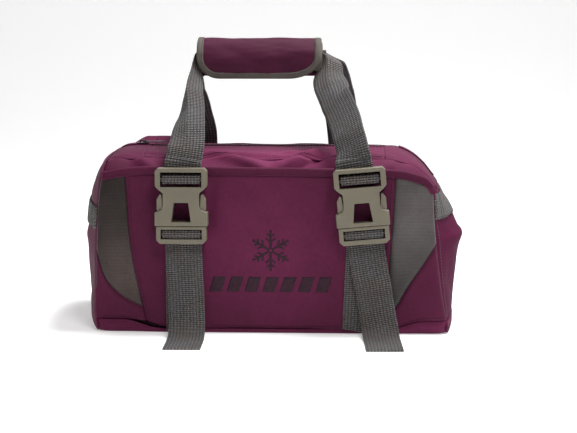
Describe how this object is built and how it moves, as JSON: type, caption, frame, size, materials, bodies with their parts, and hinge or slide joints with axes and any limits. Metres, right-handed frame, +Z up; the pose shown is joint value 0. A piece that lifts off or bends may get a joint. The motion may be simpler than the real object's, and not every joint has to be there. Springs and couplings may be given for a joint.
{
  "type": "sports bag",
  "caption": "Small fabric duffle bag with a zipped top, open front pocket, ribbed grey inserts, webbing handles in a padded wrap and side-release buckles on the straps.",
  "frame": {"origin": "middle of the base panel, on the surface that the bag stands on", "axes": "+X along the bag to its right-hand end, -Y to the front with the buckles, +Z up"},
  "size_m": [0.4054, 0.2924, 0.3083],
  "materials": {
    "plum_fabric": "plain-woven polyester, low sheen",
    "grey_mesh": "ribbed woven insert, matt",
    "webbing": "coarse grey webbing",
    "binding": "grosgrain binding tape",
    "buckle_plastic": "moulded, fine matt grain",
    "coil": "nylon coil",
    "zip_tape": "knitted tape",
    "slider_metal": "painted dark",
    "board": "sheet polyethylene",
    "hook_loop": "hook and loop"
  },
  "bodies": {
    "bag": {"back_panel": "plum_fabric", "back_webbing_left": "webbing", "back_webbing_right": "webbing", "base_board": "board", "base_panel": "plum_fabric", "buckle_socket_left": "buckle_plastic", "buckle_socket_right": "buckle_plastic", "coil_end_left": "coil", "coil_end_right": "coil", "front_panel": "plum_fabric", "front_strap_left": "webbing", "front_strap_right": "webbing", "left_corner_panel": "plum_fabric", "left_end_band": "webbing", "left_end_panel": "plum_fabric", "left_mesh_insert": "grey_mesh", "lower_strap_left": "webbing", "lower_strap_right": "webbing", "pocket_hem": "plum_fabric", "pocket_panel": "plum_fabric", "rear_strap_left": "webbing", "rear_strap_right": "webbing", "right_corner_panel": "plum_fabric", "right_end_band": "webbing", "right_end_panel": "plum_fabric", "right_mesh_insert": "grey_mesh", "strap_tail_left": "webbing", "strap_tail_right": "webbing", "top_border_front": "plum_fabric", "top_border_rear": "plum_fabric", "top_end_left": "plum_fabric", "top_end_right": "plum_fabric", "webbing_turn_top_left": "webbing", "webbing_turn_top_right": "webbing"},
    "handle": {"handle_wrap": "plum_fabric", "loop_strip": "hook_loop", "grip_webbing_front": "webbing", "grip_webbing_rear": "webbing"},
    "wrap_cover": {"wrap_flap": "plum_fabric", "wrap_binding": "binding", "hook_strip": "hook_loop"},
    "flap_front": {"top_flap_front": "plum_fabric", "coil_front": "coil", "tape_front": "zip_tape"},
    "flap_rear": {"top_flap_rear": "plum_fabric", "coil_rear": "coil", "tape_rear": "zip_tape"},
    "slider": {"zipper_slider": "slider_metal"},
    "pull": {"zipper_pull": "slider_metal"},
    "plug_left": {"buckle_plug_left": "buckle_plastic", "webbing_turn_low_left": "webbing"},
    "plug_right": {"buckle_plug_right": "buckle_plastic", "webbing_turn_low_right": "webbing"},
    "left_buckle_left_prong": {"left_buckle_left_prong": "buckle_plastic"},
    "left_buckle_right_prong": {"left_buckle_right_prong": "buckle_plastic"},
    "right_buckle_left_prong": {"right_buckle_left_prong": "buckle_plastic"},
    "right_buckle_right_prong": {"right_buckle_right_prong": "buckle_plastic"}
  },
  "joints": [
    {"name": "handle_swing", "type": "hinge", "parent": "bag", "child": "handle", "pos_m": [-0.018, 0, 0.196], "axis": [1, 0, 0], "range_deg": [-35, 35], "deforming": ["front_strap_left", "front_strap_right", "rear_strap_left", "rear_strap_right"]},
    {"name": "wrap_cover_open", "type": "hinge", "parent": "handle", "child": "wrap_cover", "pos_m": [-0.018, -0.00228, 0.3067], "axis": [-1, 0, 0], "range_deg": [0, 110]},
    {"name": "flap_front_open", "type": "hinge", "parent": "bag", "child": "flap_front", "pos_m": [0, -0.066, 0.1852], "axis": [-1, 0, 0], "range_deg": [0, 80]},
    {"name": "flap_rear_open", "type": "hinge", "parent": "bag", "child": "flap_rear", "pos_m": [0, 0.066, 0.1852], "axis": [1, 0, 0], "range_deg": [0, 80]},
    {"name": "zipper_slide", "type": "slide", "parent": "bag", "child": "slider", "axis": [1, 0, 0], "range_m": [0, 0.2756]},
    {"name": "pull_lift", "type": "hinge", "parent": "slider", "child": "pull", "pos_m": [-0.1488, 0, 0.1943], "axis": [0, -1, 0], "range_deg": [0, 100]},
    {"name": "buckle_left_release", "type": "slide", "parent": "bag", "child": "plug_left", "axis": [0, 0, -1], "range_m": [0, 0.036], "deforming": ["lower_strap_left", "strap_tail_left"]},
    {"name": "left_buckle_left_prong_flex", "type": "hinge", "parent": "plug_left", "child": "left_buckle_left_prong", "pos_m": [-0.112, -0.112, 0.1158], "axis": [0, 1, 0], "range_deg": [0, 6], "stiffness_Nm_per_rad": 0.01},
    {"name": "left_buckle_right_prong_flex", "type": "hinge", "parent": "plug_left", "child": "left_buckle_right_prong", "pos_m": [-0.078, -0.112, 0.1158], "axis": [0, 1, 0], "range_deg": [-6, 0], "stiffness_Nm_per_rad": 0.01},
    {"name": "buckle_right_release", "type": "slide", "parent": "bag", "child": "plug_right", "axis": [0.0872, 0, -0.9962], "range_m": [0, 0.036], "deforming": ["lower_strap_right", "strap_tail_right"]},
    {"name": "right_buckle_left_prong_flex", "type": "hinge", "parent": "plug_right", "child": "right_buckle_left_prong", "pos_m": [0.07687, -0.112, 0.1149], "axis": [0, 1, 0], "range_deg": [0, 6], "stiffness_Nm_per_rad": 0.01},
    {"name": "right_buckle_right_prong_flex", "type": "hinge", "parent": "plug_right", "child": "right_buckle_right_prong", "pos_m": [0.11074, -0.112, 0.11786], "axis": [0, 1, 0], "range_deg": [-6, 0], "stiffness_Nm_per_rad": 0.01}
  ],
  "couplings": [
    {"joint": "left_buckle_right_prong_flex", "follows": "left_buckle_left_prong_flex", "ratio": -1},
    {"joint": "right_buckle_right_prong_flex", "follows": "right_buckle_left_prong_flex", "ratio": -1}
  ]
}
